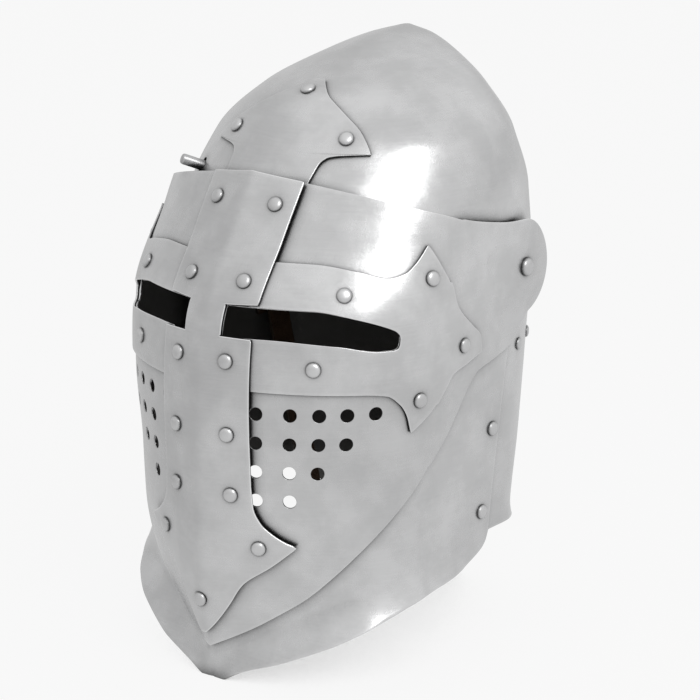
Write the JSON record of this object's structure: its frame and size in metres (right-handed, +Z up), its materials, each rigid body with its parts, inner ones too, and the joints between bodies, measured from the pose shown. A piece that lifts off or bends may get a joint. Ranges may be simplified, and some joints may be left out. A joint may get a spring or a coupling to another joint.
{
  "type": "helmet",
  "caption": "Steel great bascinet with a pointed crown, a riveted bevor, and a pivoted face plate with sights, breaths and an applied cross.",
  "frame": {"origin": "on the ground, at the middle of the helmet's width and of its length", "axes": "+X to the wearer's left, +Y to the back, +Z up; the wearer looks along -Y"},
  "size_m": [0.2336, 0.2782, 0.383],
  "materials": {
    "steel": "satin polished bare steel",
    "cross_steel": "satin polished bare steel, cut from the same sheet",
    "rivet_steel": "polished domed heads",
    "spring_steel": "hardened spring steel, darker",
    "washer_brass": "plain brass",
    "leather": "oiled brown leather",
    "linen": "undyed quilted linen",
    "buckle_brass": "cast brass, rubbed"
  },
  "bodies": {
    "helmet": {"crown": "steel", "bevor": "steel", "brow_cross": "cross_steel", "brow_rivets": "rivet_steel", "bevor_rivets_left": "rivet_steel", "bevor_rivets_right": "rivet_steel", "pivot_rivet_left": "rivet_steel", "pivot_rivet_right": "rivet_steel", "pivot_washer_left": "washer_brass", "pivot_washer_right": "washer_brass", "lock_rivets": "rivet_steel", "quilted_cap": "linen", "liner_band": "leather", "liner_rivets": "rivet_steel"},
    "visor": {"face_plate": "steel", "cross_upright": "cross_steel", "upright_rivets": "rivet_steel", "cross_arm_left": "cross_steel", "cross_arm_right": "cross_steel", "arm_rivets_left": "rivet_steel", "arm_rivets_right": "rivet_steel"},
    "lock": {"lock_spring": "spring_steel"},
    "strap_left": {"chin_strap_left": "leather", "buckle_keeper": "leather"},
    "strap_right": {"chin_strap_right": "leather"},
    "buckle": {"buckle_frame": "buckle_brass"},
    "prong": {"buckle_prong": "buckle_brass"}
  },
  "joints": [
    {"name": "face_plate_hinge", "type": "hinge", "parent": "helmet", "child": "visor", "pos_m": [0, 0.0683, 0.239], "axis": [-1, 0, 0], "range_deg": [0, 75], "deforming": ["lock_spring"]},
    {"name": "lock_press", "type": "slide", "parent": "helmet", "child": "lock", "axis": [0.6017, 0.702, -0.3811], "range_m": [0, 0.011], "stiffness_N_per_m": 700, "deforming": ["lock_spring"]},
    {"name": "strap_left_swing", "type": "hinge", "parent": "helmet", "child": "strap_left", "pos_m": [0.09623, 0.06516, 0.18714], "axis": [-0.9816, 0, 0.1908], "range_deg": [0, 30]},
    {"name": "strap_right_swing", "type": "hinge", "parent": "helmet", "child": "strap_right", "pos_m": [-0.09623, 0.06516, 0.18714], "axis": [-0.9816, 0, -0.1908], "range_deg": [0, 30]},
    {"name": "buckle_swing", "type": "hinge", "parent": "strap_left", "child": "buckle", "pos_m": [0.08288, 0.06516, 0.12474], "axis": [0, 1, 0], "range_deg": [0, 60]},
    {"name": "prong_swing", "type": "hinge", "parent": "buckle", "child": "prong", "pos_m": [0.08288, 0.06516, 0.12474], "axis": [0, 1, 0], "range_deg": [0, 60]}
  ]
}
